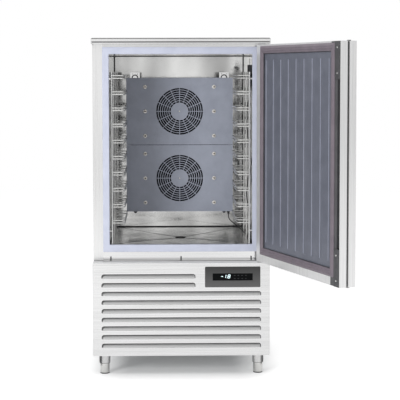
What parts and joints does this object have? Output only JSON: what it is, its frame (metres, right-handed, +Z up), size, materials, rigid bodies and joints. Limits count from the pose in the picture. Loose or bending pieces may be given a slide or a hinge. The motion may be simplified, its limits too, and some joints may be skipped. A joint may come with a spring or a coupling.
{
  "type": "blast chiller",
  "caption": "Upright stainless blast chiller with an open insulated door, wire tray racks, fan cover, core probe on a cable, louvred machine base with a display, and levelling feet.",
  "frame": {"origin": "on the floor under the centre of the cabinet's footprint", "axes": "+Z up, -Y out of the front, +X to the right seen from the front"},
  "size_m": [1.0648, 1.5341, 1.495],
  "materials": {
    "stainless_outer": "satin",
    "stainless_inner": "satin",
    "galvanised": "satin",
    "insulation": "matte",
    "breaker_plastic": "satin",
    "cover_grey": "satin",
    "washer_cream": "matte",
    "black_plastic": "matte",
    "grip_plastic": "matte",
    "fan_blade": "satin",
    "motor_black": "satin",
    "fin_aluminium": "satin",
    "rack_wire": "polished",
    "probe_black": "matte",
    "cable_black": "matte",
    "bezel_grey": "satin",
    "display_black": "gloss",
    "compressor_black": "satin",
    "mount_rubber": "matte",
    "copper": "satin",
    "door_liner_grey": "matte",
    "gasket_mauve": "matte",
    "nylon": "satin",
    "foot_steel": "polished"
  },
  "bodies": {
    "cabinet": {"side_panel_left": "stainless_outer", "side_panel_right": "stainless_outer", "rear_panel": "stainless_outer", "rear_vent_panel": "stainless_outer", "top_cap": "stainless_outer", "deck_plate": "galvanised", "cabinet_foam": "insulation", "cavity_liner": "stainless_inner", "cavity_floor": "stainless_inner", "floor_drain": "stainless_inner", "breaker_frame": "breaker_plastic", "frame_rails": "stainless_outer", "evaporator_cover_upper": "cover_grey", "evaporator_cover_lower": "cover_grey", "cover_screws": "washer_cream", "cover_hangers": "stainless_inner", "cover_clips": "black_plastic", "fan_motors": "motor_black", "fan_straps": "galvanised", "evaporator_coil": "fin_aluminium", "evaporator_side_plates": "galvanised", "tray_rack_left": "rack_wire", "tray_rack_right": "rack_wire", "rack_studs": "stainless_inner", "probe_clip": "black_plastic", "core_probe": "probe_black", "cable_gland": "black_plastic", "probe_cable": "cable_black", "base_front_panel": "stainless_outer", "control_bezel": "bezel_grey", "display_window": "display_black", "control_box": "black_plastic", "base_chassis": "galvanised", "condenser_core": "fin_aluminium", "condenser_shroud": "galvanised", "condenser_motor": "motor_black", "compressor": "compressor_black", "compressor_plate": "galvanised", "compressor_grommets": "mount_rubber", "liquid_receiver": "compressor_black", "refrigerant_pipes": "copper", "electrical_box": "black_plastic", "condensate_tray": "black_plastic", "leg_sleeves": "foot_steel", "hinge_brackets": "stainless_outer", "hinge_pins": "foot_steel"},
    "door": {"door_skin": "stainless_outer", "door_foam": "insulation", "door_liner": "door_liner_grey", "door_grip": "grip_plastic", "door_grip_ends": "black_plastic", "door_gasket": "gasket_mauve", "hinge_bushes": "nylon"},
    "fan_upper": {"fan_rotor_upper": "fan_blade"},
    "fan_lower": {"fan_rotor_lower": "fan_blade"},
    "fan_condenser": {"condenser_fan": "fan_blade"},
    "foot_fl": {"foot_front_left": "foot_steel"},
    "foot_fr": {"foot_front_right": "foot_steel"},
    "foot_rl": {"foot_rear_left": "foot_steel"},
    "foot_rr": {"foot_rear_right": "foot_steel"}
  },
  "joints": [
    {"name": "door_hinge", "type": "hinge", "parent": "cabinet", "child": "door", "pos_m": [0.38, -0.383, 0.9845], "axis": [0, 0, 1], "range_deg": [-110, 25]},
    {"name": "fan_upper_spin", "type": "hinge", "parent": "cabinet", "child": "fan_upper", "pos_m": [0, 0.136, 1.1575], "axis": [0, 1, 0], "continuous": true},
    {"name": "fan_lower_spin", "type": "hinge", "parent": "cabinet", "child": "fan_lower", "pos_m": [0, 0.136, 0.8365], "axis": [0, 1, 0], "continuous": true},
    {"name": "condenser_fan_spin", "type": "hinge", "parent": "cabinet", "child": "fan_condenser", "pos_m": [-0.18, -0.282, 0.2555], "axis": [0, 1, 0], "continuous": true},
    {"name": "foot_fl_level", "type": "slide", "parent": "cabinet", "child": "foot_fl", "axis": [0, 0, -1], "range_m": [0, 0.015]},
    {"name": "foot_fr_level", "type": "slide", "parent": "cabinet", "child": "foot_fr", "axis": [0, 0, -1], "range_m": [0, 0.015]},
    {"name": "foot_rl_level", "type": "slide", "parent": "cabinet", "child": "foot_rl", "axis": [0, 0, -1], "range_m": [0, 0.015]},
    {"name": "foot_rr_level", "type": "slide", "parent": "cabinet", "child": "foot_rr", "axis": [0, 0, -1], "range_m": [0, 0.015]}
  ]
}
